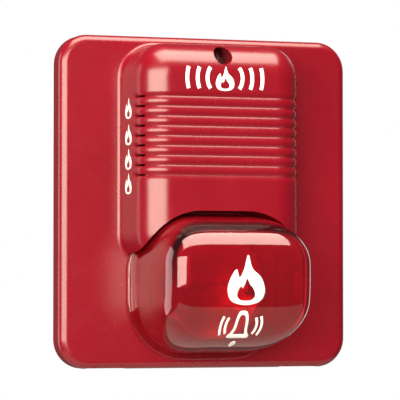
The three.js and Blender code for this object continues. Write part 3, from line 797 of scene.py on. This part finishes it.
def dome_point(x, z):
    """The point just in front of the dome's outer face at (x, z)."""
    reach = hypot(x, z - LENS_Z)
    if reach < 1e-6:
        return x, LENS_BACK - LENS_DEPTH - INK_LIFT, z
    ux, uz = x / reach, (z - LENS_Z) / reach
    low, high = 0.0, 80.0
    half_z = (LENS_TOP - LENS_BOTTOM) / 2
    middle = (LENS_TOP + LENS_BOTTOM) / 2
    for _ in range(40):
        test = (low + high) / 2
        px, pz = abs(ux * test), abs(LENS_Z + uz * test - middle)
        dx, dz = px - (LENS_X - LENS_CORNER), pz - (half_z - LENS_CORNER)
        inside = max(dx, dz) < LENS_CORNER if min(dx, dz) < 0 else hypot(dx, dz) < LENS_CORNER
        low, high = (test, high) if inside else (low, test)
    return x, LENS_BACK - LENS_DEPTH * dome_depth(reach / low, z) - INK_LIFT, z


# ---------------------------------------------------------------- printed marks
def smooth_loop(points):
    """A closed Catmull-Rom curve through points."""
    result = []
    count = len(points)
    for i in range(count):
        p0, p1, p2, p3 = (points[(i + k) % count] for k in (-1, 0, 1, 2))
        for k in range(CURVE_STEPS):
            t = k / CURVE_STEPS
            result.append(tuple(0.5 * (2 * b + (c - a) * t + (2 * a - 5 * b + 4 * c - d) * t * t
                                       + (3 * b - a - 3 * c + d) * t ** 3)
                                for a, b, c, d in zip(p0, p1, p2, p3)))
    return result


def flame(width, height):
    """A flame with a hollow heart, as one strip loop outside and one inside."""
    outer = [(0.05, 1.0), (0.16, 0.72), (0.40, 0.52), (0.50, 0.24), (0.38, 0.03), (0.0, -0.05), (-0.38, 0.03),
             (-0.50, 0.26), (-0.42, 0.52), (-0.26, 0.70), (-0.22, 0.50), (-0.08, 0.66)]
    inner = [(0.02, 0.50), (0.10, 0.38), (0.20, 0.28), (0.24, 0.14), (0.16, 0.06), (0.0, 0.04), (-0.16, 0.06),
             (-0.24, 0.15), (-0.20, 0.28), (-0.13, 0.34), (-0.10, 0.30), (-0.04, 0.38)]
    return [[(x * width, (y - 0.5) * height) for x, y in smooth_loop(loop)] for loop in (outer, inner)]


def sound_arc(radius, half_turn, thickness, facing):
    """One curved band, as two matching rows of points."""
    turns = [radians(half_turn) * (i / 12 * 2 - 1) for i in range(13)]
    return [[(facing * r * cos(t), r * sin(t)) for t in turns]
            for r in (radius - thickness / 2, radius + thickness / 2)]


def strip_between(bm, first, second, place, closed):
    """Quads between two matching rows of (u, v) points, laid on a surface by place."""
    lines = []
    for k in range(MARK_ROWS + 1):
        share = k / MARK_ROWS
        line = [(au + (bu - au) * share, av + (bv - av) * share)
                for (au, av), (bu, bv) in zip(first, second)]
        lines.append([bm.verts.new(Vector(place(u, v)) * MM) for u, v in line])
    loft(bm, lines, closed=closed)


def printed(name, material, place, loops, bands=()):
    """A mark printed on the head: closed strips between loops, and open bands, raised a hair."""
    bm = bmesh.new()
    for outer, inner in loops:
        strip_between(bm, outer, inner, place, True)
    for first, second in bands:
        strip_between(bm, first, second, place, False)
    skin = finish_mesh(bm, name, material, "head", sharp=180).modifiers.new("ink", "SOLIDIFY")
    skin.thickness = INK * MM
    skin.offset = 0


def front_place(u, v):
    """On the tower's front, over its rounded top edge."""
    z = FRONT_MARK_Z + v
    over = max(0.0, z - (TOWER_TOP - TOWER_EDGE))
    return u, TOWER_EDGE_Y - sqrt(TOWER_EDGE ** 2 - over ** 2) - INK_LIFT, z


def side_place(z_middle):
    """On the tower's left wall, reading from the front backwards."""
    def place(u, v):
        y = SIDE_MARK_Y - u
        return -(TOWER_X - (TOWER_FOOT_Y - y) * tan(TOWER_DRAFT)) - INK_LIFT, y, z_middle + v
    return place


def bell(width, height):
    """A sounder bell with a hollow middle."""
    half = [(0.13, 0.97), (0.25, 0.86), (0.31, 0.66), (0.34, 0.44), (0.42, 0.28), (0.52, 0.20), (0.50, 0.12),
            (0.26, 0.11)]
    core = [(0.07, 0.84), (0.15, 0.76), (0.19, 0.60), (0.21, 0.42), (0.25, 0.31), (0.27, 0.26), (0.22, 0.24),
            (0.12, 0.24)]
    loops = []
    for side in (half, core):
        both = side + [(-x, y) for x, y in reversed(side)]
        loops.append([(x * width, (y - 0.5) * height) for x, y in smooth_loop(both)])
    return loops


def dot(radius, v):
    """A round spot, as a ring closed almost to its middle."""
    return [circle(r, 32, 0, v) for r in (radius, radius * 0.02)]


def printed_marks(ink):
    sizes = ((7.2, 35), (11.2, 22), (15.4, 16))
    arcs = [sound_arc(r, turn, 1.5, side) for side in (-1, 1) for r, turn in sizes]
    printed("front_mark", ink, front_place, [flame(7.6, 9.0)], arcs)
    for number, z in enumerate(SIDE_MARKS, 1):
        printed(f"side_mark_{number}", ink, side_place(z), [flame(5.6, 7.6)])
    x, z = LENS_FLAME
    printed("lens_mark_flame", ink, lambda u, v: dome_point(u + x, v + z), [flame(15.0, 18.0)])
    waves = [sound_arc(r, turn, 1.0, side) for side in (-1, 1) for r, turn in ((6.2, 30), (8.2, 26))]
    bell_loops = [bell(8.2, 12), dot(1.1, -6.9)]
    printed("lens_mark_bell", ink, lambda u, v: dome_point(u, v + LENS_BELL_Z), bell_loops, waves)


# ---------------------------------------------------------------- run
def main():
    make_camera()
    make_world()
    make_floor()
    for light in LIGHTS:
        softbox(*light)
    bpy.context.scene.view_settings.view_transform = "Standard"

    red = red_housing()
    clear = lens_clear()
    front_cover(red)
    lens(clear)
    printed_marks(white_print())

    black = varied("black_moulding", (0.016, 0.016, 0.018), 0.45, spread=0.2)
    rubber = varied("black_rubber", (0.012, 0.012, 0.012), 0.75, spread=0.2, grain=600, grain_strength=0.3)
    ivory = varied("ivory_moulding", (0.72, 0.69, 0.58), 0.4, spread=0.05)
    steel = metal("plated_steel", (0.60, 0.61, 0.63), 0.3)
    brass = metal("brass", (0.66, 0.46, 0.18), 0.28)
    black_steel = varied("black_steel", (0.012, 0.012, 0.013), 0.35, spread=0.2)
    silver = metal("metallised_reflector", (0.60, 0.60, 0.62), 0.34)
    copper = varied("enamelled_copper", (0.52, 0.17, 0.05), 0.3, metallic=0.6)
    wire_red = varied("wire_insulation", (0.5, 0.02, 0.02), 0.4)
    ceramic = varied("silvered_ceramic", (0.68, 0.66, 0.6), 0.35)
    ferrite = varied("dark_ferrite", (0.03, 0.03, 0.032), 0.6, spread=0.3)
    sleeve = varied("component_sleeve", (0.02, 0.02, 0.025), 0.3)
    chosen = {
        "base_plastic": black, "ivory_plastic": ivory, "gasket_rubber": rubber, "plated_steel": steel,
        "brass": brass, "black_steel": black_steel, "reflector_metallised": silver, "copper_wire": copper,
        "wire_insulation": wire_red, "piezo_ceramic": ceramic, "ferrite": ferrite, "component_sleeve": sleeve,
        "tube_glass": glass(), "circuit_board": circuit_board(), "red_housing": red, "lens_clear_red": clear,
    }
    slots = {row["node"]: row["material_slot"] for row in frame["record"]["subparts"]}
    for name, obj in frame["nodes"].items():
        obj.data.materials.clear()
        obj.data.materials.append(chosen[slots[name]])


main()
